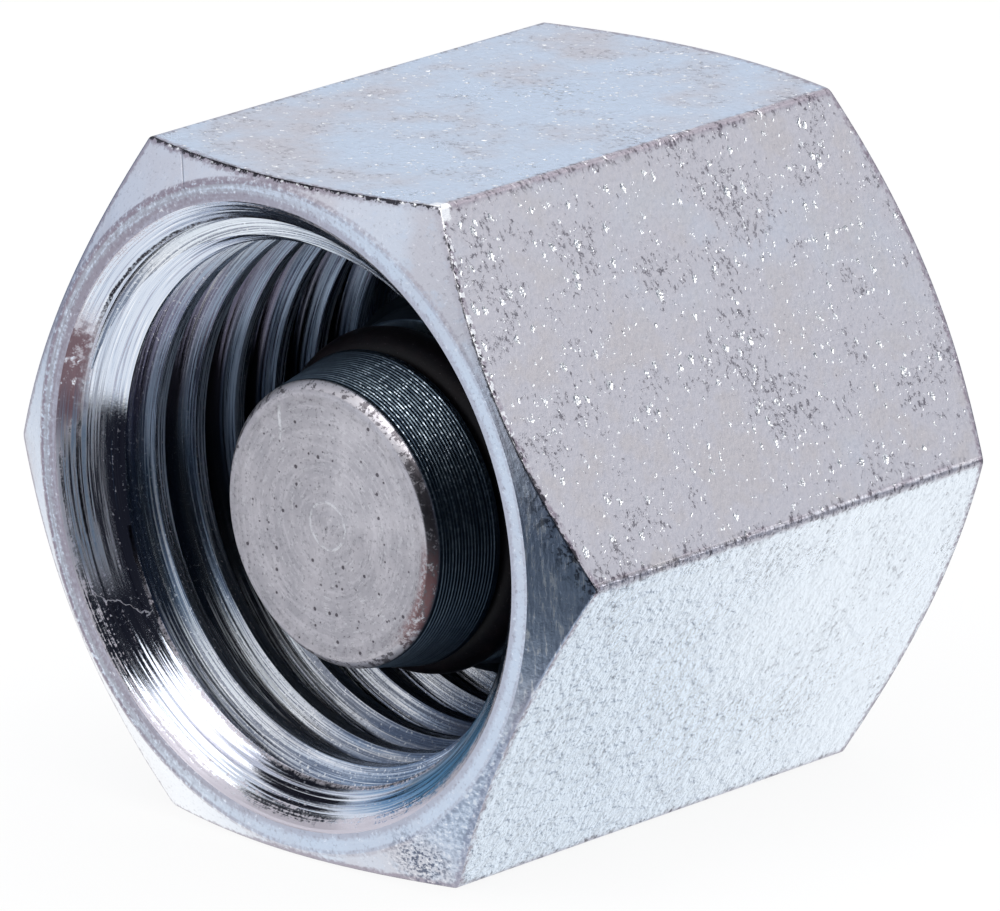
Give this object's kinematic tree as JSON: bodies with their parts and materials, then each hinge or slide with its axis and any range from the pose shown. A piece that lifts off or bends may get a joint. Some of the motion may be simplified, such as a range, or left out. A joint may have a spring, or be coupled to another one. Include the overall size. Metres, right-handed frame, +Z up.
{
  "type": "hydraulic blanking plug with union nut",
  "caption": "Hexagonal union nut with a metric internal thread, around a loose turned blanking plug with a 24 degree sealing cone and an O-ring in its groove.",
  "frame": {"origin": "middle of the hexagon flat that the nut lies on", "axes": "+Y along the nut's axis from its mouth to its back, +Z up, +X to the right seen from the mouth"},
  "size_m": [0.0216, 0.0166, 0.0187],
  "materials": {
    "nut_zinc": "blue-passivated zinc on drawn bar, chamfers and bore machined",
    "plug_zinc": "turned steel with thin zinc, fine lathe rings",
    "seal_rubber": "matt black nitrile"
  },
  "bodies": {
    "nut": {"union_nut": "nut_zinc"},
    "plug": {"blanking_plug": "plug_zinc", "o_ring": "seal_rubber"}
  },
  "joints": [
    {"name": "plug_spin", "type": "hinge", "parent": "nut", "child": "plug", "pos_m": [0, -0.00655, 0.00872], "axis": [0, 1, 0], "continuous": true}
  ]
}
